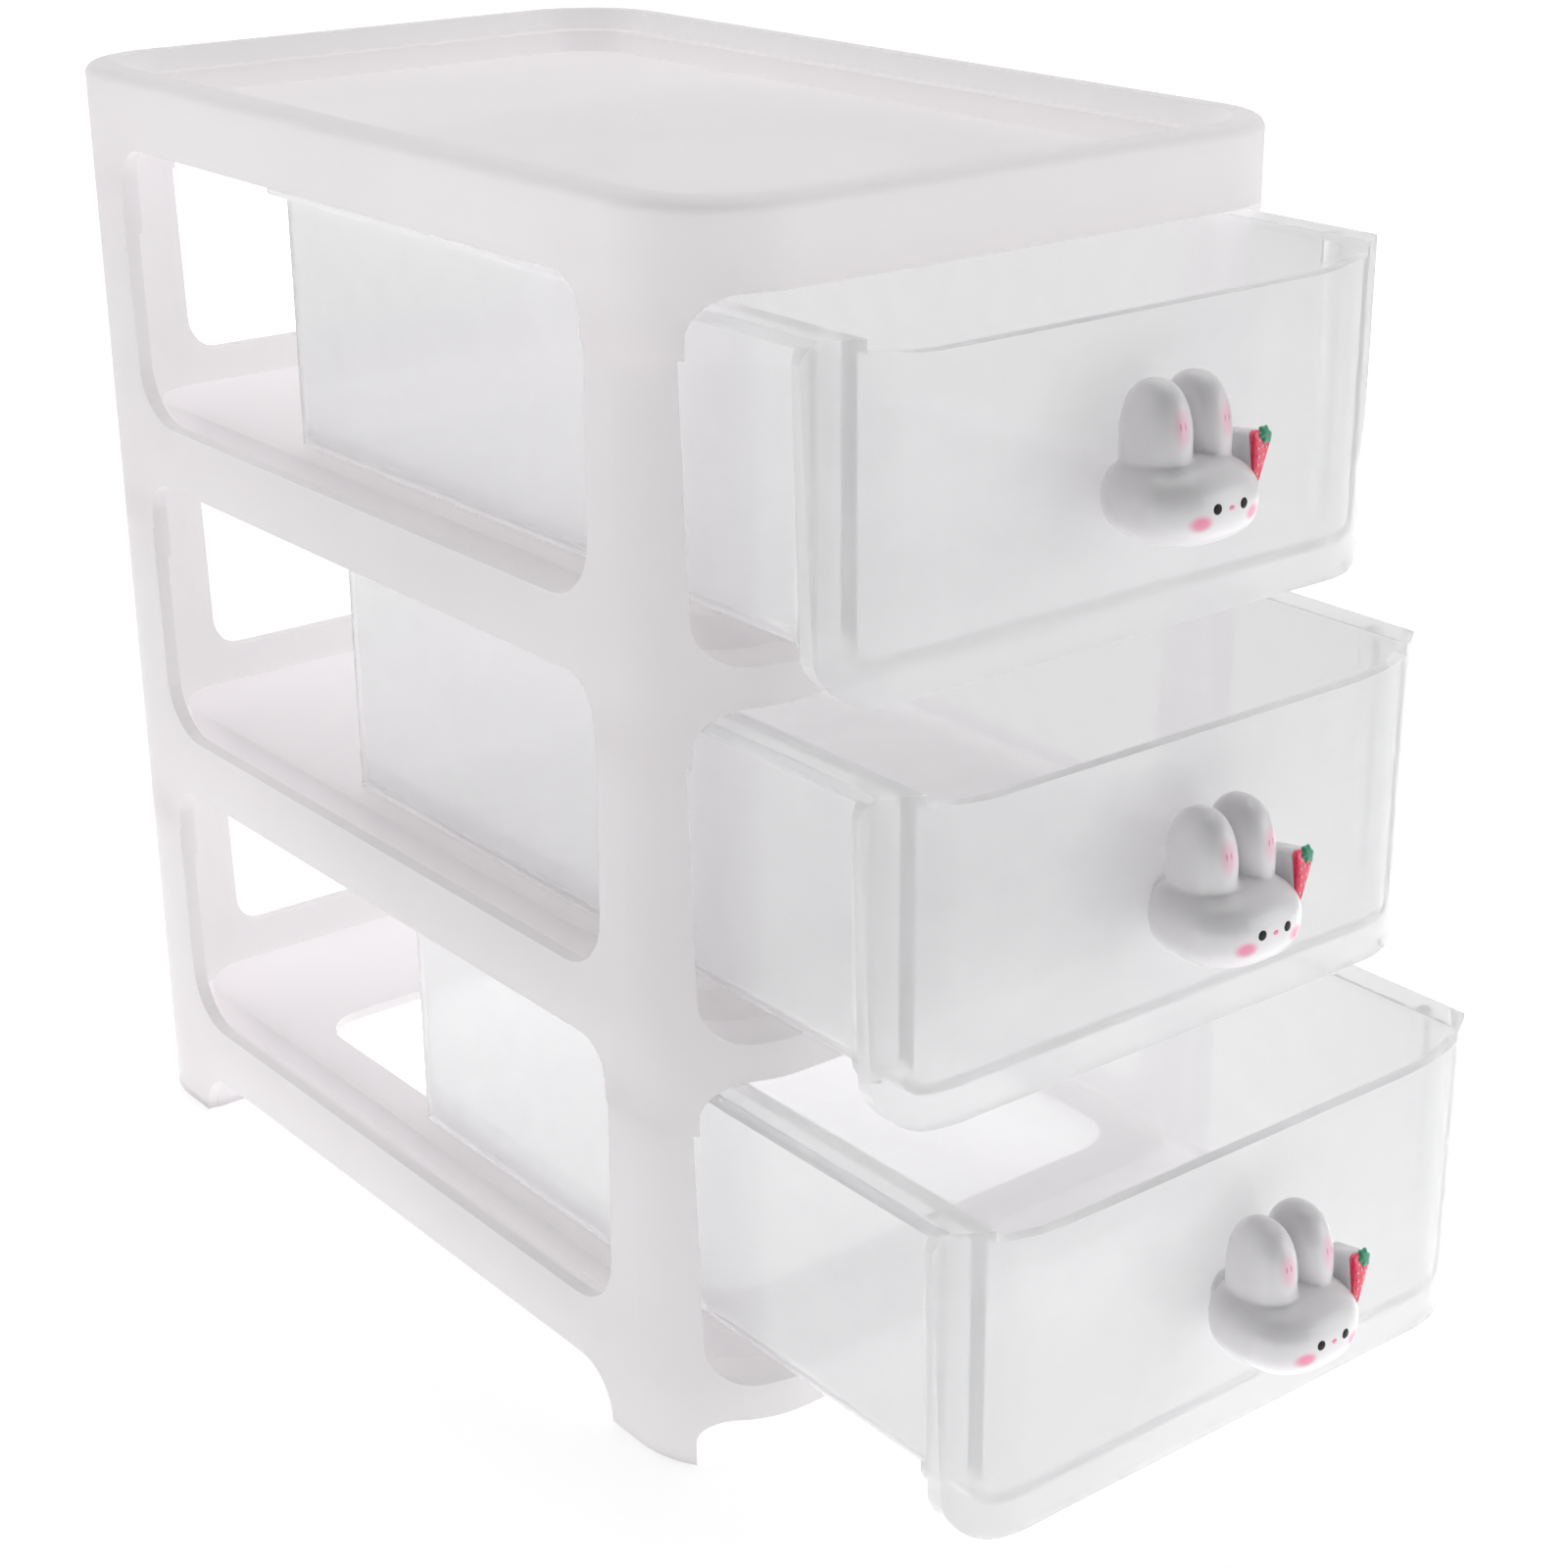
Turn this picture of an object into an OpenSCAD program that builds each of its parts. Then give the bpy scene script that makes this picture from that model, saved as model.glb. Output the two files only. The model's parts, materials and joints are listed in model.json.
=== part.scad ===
// Three-tier desktop drawer cabinet with pull-out clear drawers and rabbit-head knobs.
// Four white mouldings stack into the cabinet: base frame, two shelves and a tray-topped cover.
// X runs along the front, Y from front to back, Z up; the feet stand on Z = 0.

/* [Cabinet] */
// Overall width
cabinet_w = 130; // [118:1:150]
// Overall depth
cabinet_d = 205; // [185:1:240]
// Outer corner radius, seen from above
corner_r = 20; // [17:1:23]
// Wall thickness of the white mouldings
wall_t = 2.6; // [2.2:0.1:3]
// Height of the feet
foot_h = 9.5; // [8:0.5:12]
// Height from one shelf to the next
tier_pitch = 64; // [58:1:76]
// Height of the cover above the topmost opening
skirt_h = 13.5; // [12.5:0.5:18]

/* [Frame openings] */
// Width of the post left at each end of a side opening
side_post_w = 27.5; // [24:0.5:34]
// Width of the post edge left beside a front opening
front_post_w = 4.5; // [4:0.1:5.5]
// Width of the post left at each end of a back opening
back_post_w = 23.5; // [22:0.5:30]
// Height of the sill under a side opening
sill_h = 12; // [10.5:0.5:14]
// Height of the rail under a front opening
front_rail_h = 6.6; // [6:0.2:7.4]
// Height of the rail under a back opening
back_rail_h = 17; // [14:0.5:20]
// Radius of the upper corners of the openings
top_corner_r = 7; // [5:0.5:8]
// Radius of the lower corners of the openings
sill_corner_r = 11; // [6:0.5:12]
// How much wider an opening grows from its sill to the top of the post
post_taper = 0.8; // [0.2:0.1:1]

/* [Joints between mouldings] */
// Length of the short post stubs under each shelf and the cover
stub_h = 10; // [8.5:0.5:12]
// Height of the tongue that locates one moulding in the next
tongue_h = 7; // [5:0.5:8]
// Thickness of that tongue
tongue_t = 1.4; // [1.2:0.1:1.6]
// Play between the tongue and the stub round it
tongue_fit = 0.15; // [0.1:0.05:0.25]

/* [Shelves] */
// Thickness of the shelf plates
plate_t = 2; // [1.6:0.1:2.4]
// Width of the gutter round the raised platform of a shelf
platform_inset = 9; // [8:0.5:9.5]
// Height of the platform above the moulding's lower edge
platform_h = 12; // [11:0.5:13]
// Width of the base frame's floor beside its opening
base_side_w = 18; // [14:0.5:24]
// Width of the base frame's floor in front of its opening
base_front_w = 18.5; // [14:0.5:24]
// Width of the base frame's floor behind its opening
base_back_w = 46.5; // [30:0.5:60]
// Corner radius of the opening in the base frame's floor
base_hole_r = 9; // [5:0.5:12]

/* [Cover tray] */
// Radius of the rounded outer edge of the cover
rim_edge_r = 2; // [1:0.25:2.5]
// Width of the rim round the tray
rim_w = 5.5; // [4.5:0.25:6]
// Depth of the step below the rim
tray_step_d = 4; // [3:0.25:4.5]
// Distance from the outer face to the edge of the tray floor
tray_inset = 9; // [8.5:0.25:11]
// Depth of the tray floor below the rim
tray_d = 8.2; // [7:0.2:8.8]

/* [Feet] */
// Width of each foot along the side
foot_side_w = 28.5; // [26:0.5:34]
// Width of the foot edge along the front
foot_front_w = 3.5; // [3.2:0.1:5]
// Radius between the front rail and a foot
foot_front_r = 5; // [3:0.5:7]
// Width of the box behind each foot
foot_box_w = 11; // [9:0.5:14]

/* [Drawers] */
// How far the top drawer stands open
top_pull = 25.5; // [0:0.5:100]
// How far the middle drawer stands open
middle_pull = 39; // [0:0.5:100]
// How far the bottom drawer stands open
bottom_pull = 56; // [0:0.5:100]
// Length of a drawer from its front face to its back wall
drawer_l = 166.5; // [140:0.5:180]
// Gap from each end of the front panel to the post beside it
panel_side_gap = 0.4; // [0.4:0.1:1]
// Thickness of the front panel
panel_t = 2.2; // [1.8:0.1:2.6]
// Depth of the front panel's wrapped ends
lip_d = 8.5; // [7.5:0.1:8.5]
// Gap from the front panel to the rail below it
panel_low_gap = 0.4; // [0.3:0.1:0.8]
// Gap from the drawer's top to the rail above it
drawer_top_gap = 2.2; // [1.8:0.1:3]
// Radius of the lower corners of the front panel
panel_corner_r = 8; // [4:0.5:10]
// How much the front panel narrows on each side from its top to its lower corners
panel_draft = 1.4; // [0.4:0.1:1.8]
// Drop from the drawer's corners to the top of its front panel
panel_drop = 2; // [1:0.1:3]
// Depth of the scoop in the top of the front panel
scoop_d = 1.3; // [0.5:0.1:2.5]
// Length over which the scoop falls at each end
scoop_l = 13; // [8:0.5:20]
// Thickness of the drawer's walls and floor
drawer_t = 2; // [1.6:0.1:2.4]
// Distance from the side of the front panel to the drawer's side wall
box_inset = 6; // [5:0.25:8]
// Running gap between a drawer and its shelf
run_gap = 0.3; // [0.3:0.05:0.6]
// Radius of the drawer's long lower edges
box_edge_r = 4; // [2.5:0.25:5]
// Radius of the drawer's back corners, seen from above
box_back_r = 8; // [5:0.5:10]
// Thickness of the flange round the drawer's top
flange_t = 1.6; // [1.2:0.1:2]
// How much narrower each side flange is at the back than at the front
flange_taper = 2.5; // [1:0.1:3]
// Width of the flange along the back
flange_back_w = 3; // [2:0.25:4]
// Thickness of the upright web behind the front panel's ends
web_t = 2.4; // [1.6:0.1:3]
// Gap between that web and the front panel's ends
web_gap = 1.6; // [1:0.1:2]
// How far the web stays inside the end of the front panel
web_inset = 3.5; // [2.5:0.1:4.5]

/* [Knob] */
// How far the rabbit's face stands out from the front panel
knob_d = 20.4; // [19:0.2:24]
// Width of the rabbit's head
head_w = 24; // [23:0.5:27]
// Height of the rabbit's head
head_h = 15.2; // [14.6:0.2:17]
// Depth of the flat cut on the back of the head where it meets the panel
head_cut = 0.8; // [0.4:0.1:1.5]
// How much slimmer the muzzle is than the back of the head
muzzle_slim = 0.2; // [0.1:0.1:1]
// Height of the rabbit from chin to ear tips
rabbit_h = 26.6; // [25:0.2:30]
// Width of one ear
ear_w = 7.6; // [6.6:0.2:7.8]
// Thickness of one ear from front to back
ear_d = 12.8; // [11:0.2:14]
// Distance between the middles of the ears
ear_spacing = 8; // [7.8:0.2:9.5]
// Gap between the ears and the front panel
ear_gap = 1.6; // [1:0.2:3]
// How much the top of an ear slopes down towards the panel
ear_slope = 1.5; // [0.5:0.1:2.5]
// Height of the middle of the head above the rail's lower edge
knob_z = 31.8; // [29:0.2:34]

/* [Screw] */
// Radius of the screw's shank
screw_r = 1.45; // [1.2:0.05:1.6]
// Radial play of the shank in the knob
screw_fit = 0.05; // [0.02:0.01:0.08]
// Radial play of the shank in the front panel
panel_hole_fit = 0.35; // [0.2:0.05:0.5]
// How far the screw reaches into the knob
screw_reach = 8; // [6:0.5:10]
// Radius of the screw's head
screw_head_r = 3.1; // [2.6:0.1:3.6]
// Height of the screw's head
screw_head_h = 1.9; // [1.5:0.1:2.4]

/* [Strawberry] */
// Distance from the middle of the head to the near corner of the strawberry
berry_x = 11; // [10.4:0.1:11.6]
// Height of the strawberry's top corners above the top of the head
berry_rise = 0.7; // [0:0.1:1.5]
// Distance from the rabbit's face back to the strawberry
berry_back = 6.6; // [6:0.2:8]
// Width across the top of the strawberry
berry_w = 4.6; // [4:0.2:5.4]
// Height of the strawberry
berry_h = 8; // [7:0.25:9]
// Thickness of the strawberry
berry_t = 2.2; // [1.8:0.1:2.6]
// How far the strawberry's tip stands in front of its top
berry_lean = 2.4; // [1:0.2:3]
// How much lower the strawberry's far corner is than its near corner
berry_tilt = 0.7; // [0:0.1:1.5]
// Gap between the strawberry and the wedge that carries it
berry_seat = 0.2; // [0.2:0.05:0.3]
// Depth of that wedge
mount_d = 6; // [5:0.5:8]

/* [Hidden] */

$fn = 48;

white = [0.95, 0.95, 0.96];
clear = [0.88, 0.92, 0.94, 0.45];
red = [0.9, 0.16, 0.27];
steel = [0.75, 0.76, 0.78];

BOTTOM = 0; // index of the bottom drawer's bay
MIDDLE = 1; // index of the middle drawer's bay
TOP = 2; // index of the top drawer's bay
TIERS = 3;
pulls = [bottom_pull, middle_pull, top_pull];

over = 1; // how far a cutting shape runs past what it cuts
bite = 0.5; // how far joined shapes reach into each other
arc_steps = 8; // straight pieces in a quarter turn of a small corner
scoop_steps = 24; // straight pieces along the scooped top edge of a front panel
ball_fn = 24; // facets round a ball of the rabbit
berry_fn = 20; // facets round a ball of the strawberry

half_w = cabinet_w / 2;
half_d = cabinet_d / 2;
cover_top = foot_h + TIERS * tier_pitch + skirt_h;
front_half = half_w - front_post_w;
side_half = half_d - side_post_w;
back_half = half_w - back_post_w;
tongue_root = tongue_h; // how far the tongue reaches down inside its post
tongue_clear = 1.6; // how far the tongue stays back from the edge of an opening

panel_half = front_half - panel_side_gap;
box_half = panel_half - box_inset;
lip_y = -half_d + lip_d;
drawer_back_y = -half_d + drawer_l;
panel_z = front_rail_h + panel_low_gap;
drawer_z = platform_h + run_gap;
drawer_top_z = tier_pitch - drawer_top_gap;
panel_top_z = drawer_top_z - panel_drop;

head_r = head_h / 2;
knob_front_y = -half_d;

// The whole is centred on the origin with its drawers standing open.
front_reach = half_d + max(pulls) + knob_d;
origin_y = (front_reach - half_d) / 2;

// Height of the lower edge of rail i, counted from the base frame's rail.
function rail_z(i) = foot_h + i * tier_pitch;
// Height of the joint under shelf i.
function seam_z(i) = rail_z(i) - stub_h;
// Points along an arc.
function arc(centre, r, from, to) = [
    for (i = [0 : arc_steps])
        let (a = from + (to - from) * i / arc_steps) centre + r * [cos(a), sin(a)]
];
// Smooth rise from 0 to 1.
function ease(t) = let (s = min(1, max(0, t))) s * s * (3 - 2 * s);

// ---------- shared shapes ----------

// A rectangle with true round corners.
module round_rect(w, d, r) {
    square([w - 2 * r, d], center = true);
    square([w, d - 2 * r], center = true);
    for (x = [-1, 1], y = [-1, 1])
        translate([x * (w / 2 - r), y * (d / 2 - r)])
            circle(r);
}

// The cabinet's outline seen from above, drawn in by an inset.
module outline(inset = 0) {
    round_rect(cabinet_w - 2 * inset, cabinet_d - 2 * inset, corner_r - inset);
}

// A plate or block with the cabinet's outline.
module slab(z0, z1, inset = 0) {
    translate([0, 0, z0])
        linear_extrude(z1 - z0)
            outline(inset);
}

// A wall that follows the cabinet's outline between two insets.
module band(z0, z1, outer, inner) {
    translate([0, 0, z0])
        linear_extrude(z1 - z0)
            difference() {
                outline(outer);
                outline(inner);
            }
}

// Runs a profile drawn in X and Z through the cabinet from left to right.
module through_sides() {
    rotate([90, 0, 90])
        translate([0, 0, -half_w - over])
            linear_extrude(cabinet_w + 2 * over)
                children();
}

// Runs a profile drawn in X and Z from the front face inwards.
module through_front(depth) {
    translate([0, -half_d + depth, 0])
        rotate([90, 0, 0])
            linear_extrude(depth + over)
                children();
}

// Runs a profile drawn in X and Z from the back face inwards.
module through_back(depth) {
    translate([0, half_d + over, 0])
        rotate([90, 0, 0])
            linear_extrude(depth + over)
                children();
}

// The part of an opening above its sill: round lower corners, sides that lean out to the seam.
module sill_profile(half, z0, z1, r, taper) {
    polygon(concat(
        arc([-half + r, z0 + r], r, 180, 270),
        arc([half - r, z0 + r], r, 270, 360),
        [[half + taper, z1], [-half - taper, z1]]
    ));
}

// The part of an opening below the next rail: round upper corners and straight sides.
module head_profile(half, z0, z1, r) {
    polygon(concat(
        arc([half - r, z1 - r], r, 0, 90),
        arc([-half + r, z1 - r], r, 90, 180),
        [[-half, z0], [half, z0]]
    ));
}

// Cuts the openings that rise from rail i up past the post tops.
module sill_cuts(i, margin = 0) {
    z = rail_z(i);
    top = seam_z(i + 1) + tongue_h + over;
    through_sides()
        sill_profile(side_half + margin, z + sill_h, top, sill_corner_r, post_taper);
    through_front(corner_r)
        sill_profile(front_half + margin, z + front_rail_h, top, top_corner_r, post_taper);
    through_back(corner_r)
        sill_profile(back_half + margin, z + back_rail_h, top, top_corner_r, post_taper);
}

// Cuts the openings that end at the lower edge of rail i.
module head_cuts(i) {
    z = rail_z(i);
    low = seam_z(i) - over;
    through_sides()
        head_profile(side_half, low, z, top_corner_r);
    through_front(corner_r)
        head_profile(front_half, low, z, top_corner_r);
    through_back(corner_r)
        head_profile(back_half, low, z, top_corner_r);
}

// The tongue on top of the posts over rail i, kept back from the openings.
module post_tongue(i) {
    seam = seam_z(i + 1);
    inner = wall_t + tongue_fit + tongue_t;
    difference() {
        union() {
            band(seam - tongue_root, seam, wall_t - bite, inner);
            band(seam - bite, seam + tongue_h, wall_t + tongue_fit, inner);
        }
        sill_cuts(i, tongue_clear);
    }
}

// The raised platform of shelf i with the gutter round it.
module platform(i) {
    z = rail_z(i);
    low = z + front_rail_h - plate_t;
    band(low, z + front_rail_h, wall_t - bite, platform_inset + plate_t);
    band(low, z + platform_h, platform_inset, platform_inset + plate_t);
    slab(z + platform_h - plate_t, z + platform_h, platform_inset + plate_t - bite);
}

// The posts and rails from the joint at z0 up to the joint over rail i.
module tier_wall(i, z0) {
    difference() {
        band(z0, seam_z(i + 1), 0, wall_t);
        sill_cuts(i);
    }
}

// ---------- white mouldings ----------

module shelf(i) {
    difference() {
        tier_wall(i, seam_z(i));
        head_cuts(i);
    }
    platform(i);
    post_tongue(i);
}

module upper_shelf() {
    color(white)
        shelf(TOP);
}

module lower_shelf() {
    color(white)
        shelf(MIDDLE);
}

// The opening in the base frame's floor.
module base_hole() {
    w = cabinet_w - 2 * base_side_w;
    d = cabinet_d - base_front_w - base_back_w;
    translate([0, (base_front_w - base_back_w) / 2, 0])
        linear_extrude(foot_h + tier_pitch)
            round_rect(w, d, base_hole_r);
}

// The gaps between the feet.
module foot_gaps() {
    side = half_d - foot_side_w;
    through_sides()
        head_profile(side, -over, foot_h, foot_h);
    through_front(corner_r)
        head_profile(half_w - foot_front_w, -over, foot_h, foot_front_r);
    through_back(corner_r)
        head_profile(back_half, -over, foot_h, foot_front_r);
}

// The box behind each foot: one web across and one along the side.
module foot_webs() {
    web_z = foot_h + front_rail_h - bite;
    web_y = half_d - foot_side_w - bite;
    for (x = [-1, 1], y = [-1, 1])
        scale([x, y, 1])
            translate([half_w - foot_box_w, web_y, 0]) {
                cube([foot_box_w - wall_t + bite, plate_t, web_z]);
                cube([plate_t, foot_box_w, web_z]);
            }
}

module base_frame() {
    color(white) {
        difference() {
            tier_wall(BOTTOM, 0);
            foot_gaps();
        }
        difference() {
            platform(BOTTOM);
            base_hole();
        }
        foot_webs();
        post_tongue(BOTTOM);
    }
}

// The outer body of the cover with its rounded upper edge.
module cover_body() {
    z = cover_top - rim_edge_r;
    slab(seam_z(TIERS), z);
    slab(z, cover_top, rim_edge_r);
    long_x = cabinet_w - 2 * corner_r;
    long_y = cabinet_d - 2 * corner_r;
    translate([0, 0, z]) {
        for (x = [-1, 1], y = [-1, 1])
            translate([x * long_x / 2, y * long_y / 2, 0])
                rotate([0, 0, corner_angle(x, y)])
                    rotate_extrude(angle = 90)
                        translate([corner_r - rim_edge_r, 0])
                            edge_profile();
        for (side = [0, 180]) {
            rotate([0, 0, side])
                translate([half_w - rim_edge_r, long_y / 2, 0])
                    rotate([90, 0, 0])
                        linear_extrude(long_y)
                            edge_profile();
            rotate([0, 0, side + 90])
                translate([half_d - rim_edge_r, long_x / 2, 0])
                    rotate([90, 0, 0])
                        linear_extrude(long_x)
                            edge_profile();
        }
    }
}

// Where the quarter turn of a corner starts.
function corner_angle(x, y) = x > 0 ? (y > 0 ? 0 : 270) : (y > 0 ? 90 : 180);

// A quarter disc: the round of the cover's edge.
module edge_profile() {
    intersection() {
        circle(rim_edge_r);
        square(rim_edge_r);
    }
}

module top_cover() {
    floor_low = cover_top - tray_d - plate_t;
    color(white)
        difference() {
            cover_body();
            slab(seam_z(TIERS) - over, floor_low, wall_t);
            band(floor_low - over, cover_top - tray_step_d - plate_t, wall_t, tray_inset - plate_t);
            slab(cover_top - tray_step_d, cover_top + over, rim_w);
            slab(cover_top - tray_d, cover_top + over, tray_inset);
            head_cuts(TIERS);
        }
}

// ---------- drawers ----------

// Height of the front panel's top edge at x, without the raised corners.
function scoop_z(x) = panel_top_z - scoop_d * ease((box_half - drawer_t - abs(x)) / scoop_l);

// The front panel seen from the front.
module panel_profile() {
    inner_x = box_half - drawer_t;
    r = panel_corner_r;
    low_x = panel_half - panel_draft - r;
    polygon(concat(
        arc([-low_x, panel_z + r], r, 180, 270),
        arc([low_x, panel_z + r], r, 270, 360),
        [[panel_half, drawer_top_z], [inner_x, drawer_top_z]],
        [for (i = [0 : scoop_steps]) let (x = inner_x * (1 - 2 * i / scoop_steps)) [x, scoop_z(x)]],
        [[-inner_x, drawer_top_z], [-panel_half, drawer_top_z]]
    ));
}

// The front panel: it follows the cabinet's round front corners and ends in short lips.
module front_panel() {
    intersection() {
        band(panel_z - over, drawer_top_z + over, 0, panel_t);
        through_front(lip_d)
            panel_profile();
    }
}

// The drawer's cross-section, with round long edges and an open top.
module box_profile(half, z0, r) {
    polygon(concat(
        arc([-half + r, z0 + r], r, 180, 270),
        arc([half - r, z0 + r], r, 270, 360),
        [[half, drawer_top_z], [-half, drawer_top_z]]
    ));
}

// A block with the box's cross-section and round back corners.
module box_block(half, z0, edge_r, back_y, back_r) {
    intersection() {
        translate([0, back_y, 0])
            rotate([90, 0, 0])
                linear_extrude(back_y + half_d + over)
                    box_profile(half, z0, edge_r);
        translate([0, 0, z0 - over])
            linear_extrude(drawer_top_z - z0 + 2 * over)
                polygon(concat(
                    arc([half - back_r, back_y - back_r], back_r, 0, 90),
                    arc([-half + back_r, back_y - back_r], back_r, 90, 180),
                    [[-half, -half_d - over], [half, -half_d - over]]
                ));
    }
}

// The box of the drawer, open at the front where the panel closes it.
module drawer_box() {
    intersection() {
        difference() {
            box_block(box_half, drawer_z, box_edge_r, drawer_back_y, box_back_r);
            box_block(
                box_half - drawer_t, drawer_z + drawer_t, box_edge_r - drawer_t,
                drawer_back_y - drawer_t, box_back_r - drawer_t
            );
        }
        slab(0, tier_pitch, panel_t / 2);
    }
}

// The flange round the drawer's top, from the panel's corners to the back wall.
module flange() {
    inner = box_half - drawer_t + bite;
    back = drawer_back_y + flange_back_w;
    back_x = panel_half - flange_taper;
    r = box_back_r + flange_back_w;
    translate([0, 0, drawer_top_z - flange_t])
        linear_extrude(flange_t)
            intersection() {
                outline(panel_t / 2);
                difference() {
                    polygon(concat(
                        [[-panel_half, -half_d], [panel_half, -half_d], [panel_half, lip_y]],
                        arc([back_x - r, back - r], r, 0, 90),
                        arc([-back_x + r, back - r], r, 90, 180),
                        [[-panel_half, lip_y]]
                    ));
                    polygon(concat(
                        [[-inner, -half_d - over], [inner, -half_d - over]],
                        arc([inner - box_back_r, drawer_back_y - bite - box_back_r], box_back_r, 0, 90),
                        arc([-inner + box_back_r, drawer_back_y - bite - box_back_r], box_back_r, 90, 180)
                    ));
                }
            }
}

// The upright webs that stand behind the ends of the front panel.
module end_webs() {
    web_x = panel_half - web_inset;
    r = box_edge_r;
    for (side = [-1, 1])
        scale([side, 1, 1])
            translate([0, lip_y + web_gap + web_t, 0])
                rotate([90, 0, 0])
                    linear_extrude(web_t)
                        polygon(concat(
                            arc([web_x - r, drawer_z + r], r, 270, 360),
                            [[web_x, drawer_top_z], [box_half - bite, drawer_top_z]],
                            [[box_half - bite, drawer_z + r]]
                        ));
}

// The room that the front opening leaves for a drawer, with its gap at the posts.
module drawer_room() {
    through_front(cabinet_d)
        head_profile(panel_half, 0, tier_pitch - panel_side_gap, top_corner_r - panel_side_gap);
}

// One drawer, open by its pull, over rail i.
module drawer(i) {
    color(clear)
        translate([0, -pulls[i], rail_z(i)])
            difference() {
                intersection() {
                    union() {
                        front_panel();
                        drawer_box();
                        flange();
                        end_webs();
                    }
                    drawer_room();
                }
                translate([0, knob_front_y + panel_t + over, knob_z])
                    rotate([90, 0, 0])
                        cylinder(r = screw_r + panel_hole_fit, h = panel_t + 2 * over);
            }
}

// ---------- rabbit knobs ----------

// Places children with Y = 0 on the front face of drawer i and Z = 0 at the rabbit's middle.
module on_panel(i) {
    translate([0, knob_front_y - pulls[i], rail_z(i) + knob_z])
        children();
}

// A ball at x, at a distance out from the panel, and at a height.
module ball(x, out, z, r) {
    translate([x, -out, z])
        sphere(r, $fn = ball_fn);
}

module head() {
    cheek_x = head_w / 2 - head_r;
    muzzle_r = head_r - muzzle_slim;
    intersection() {
        hull() {
            for (side = [-1, 1]) {
                ball(side * cheek_x, head_r - head_cut, 0, head_r);
                ball(side * cheek_x / 2, knob_d - muzzle_r, -muzzle_slim, muzzle_r);
            }
        }
        translate([-head_w, -knob_d - over, -head_h])
            cube([2 * head_w, knob_d + over, 2 * head_h]);
    }
}

// One ear: it stands with its foot inside the head and its back clear of the panel.
module ear(side) {
    r = ear_w / 2;
    top = rabbit_h - head_r - r;
    back = ear_gap + r;
    front = ear_gap + ear_d - r;
    low = head_r - r;
    x = side * ear_spacing / 2;
    hull() {
        ball(x, back, top - ear_slope, r);
        ball(x, (back + front) / 2, top, r);
        ball(x, front, top - ear_slope, r);
        ball(x, back, low, r);
        ball(x, front, low, r);
    }
}

module knob(i) {
    color("white")
        on_panel(i)
            difference() {
                union() {
                    head();
                    ear(-1);
                    ear(1);
                    berry_mount();
                }
                translate([0, over, 0])
                    rotate([90, 0, 0])
                        cylinder(r = screw_r + screw_fit, h = screw_reach + 2 * over);
            }
}

// Middles of the strawberry's round corners: across, out from the panel, and up.
berry_left = [berry_x, knob_d - berry_back, head_r + berry_rise];
berry_right = berry_left + [berry_w - berry_t, 0, -berry_tilt];
berry_tip = berry_left + [0, berry_lean, berry_t - berry_h];

// The flat heart-shaped body of the strawberry.
module berry() {
    hull()
        for (p = [berry_tip, berry_left, berry_right])
            translate([p[0], -p[1], p[2]])
                sphere(berry_t / 2, $fn = berry_fn);
}

// The wedge that carries the strawberry on the side of the head.
module berry_mount() {
    hull()
        for (p = [berry_tip, berry_left, berry_right], back = [berry_t + berry_seat, mount_d])
            translate([p[0], -p[1] + back, p[2]])
                sphere(berry_t / 2 - berry_seat / 2, $fn = berry_fn);
}

module strawberry(i) {
    color(red)
        on_panel(i)
            berry();
}

module screw(i) {
    color(steel)
        on_panel(i)
            translate([0, panel_t, 0])
                rotate([-90, 0, 0]) {
                    cylinder(r = screw_head_r, h = screw_head_h);
                    translate([0, 0, -panel_t - screw_reach])
                        cylinder(r = screw_r, h = panel_t + screw_reach + bite);
                }
}

module drawer_top() { drawer(TOP); }
module drawer_middle() { drawer(MIDDLE); }
module drawer_bottom() { drawer(BOTTOM); }
module knob_top() { knob(TOP); }
module knob_middle() { knob(MIDDLE); }
module knob_bottom() { knob(BOTTOM); }
module strawberry_top() { strawberry(TOP); }
module strawberry_middle() { strawberry(MIDDLE); }
module strawberry_bottom() { strawberry(BOTTOM); }
module screw_top() { screw(TOP); }
module screw_middle() { screw(MIDDLE); }
module screw_bottom() { screw(BOTTOM); }

translate([0, origin_y, 0]) {
    top_cover();
    upper_shelf();
    lower_shelf();
    base_frame();
    drawer_top();
    drawer_middle();
    drawer_bottom();
    knob_top();
    knob_middle();
    knob_bottom();
    strawberry_top();
    strawberry_middle();
    strawberry_bottom();
    screw_top();
    screw_middle();
    screw_bottom();
}
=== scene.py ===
"""Looks of the three-tier desktop drawer cabinet: materials, rabbit knobs, camera and light."""

import json
import math

import bmesh
import bpy
from mathutils import Matrix, Vector
from mathutils.bvhtree import BVHTree


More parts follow.
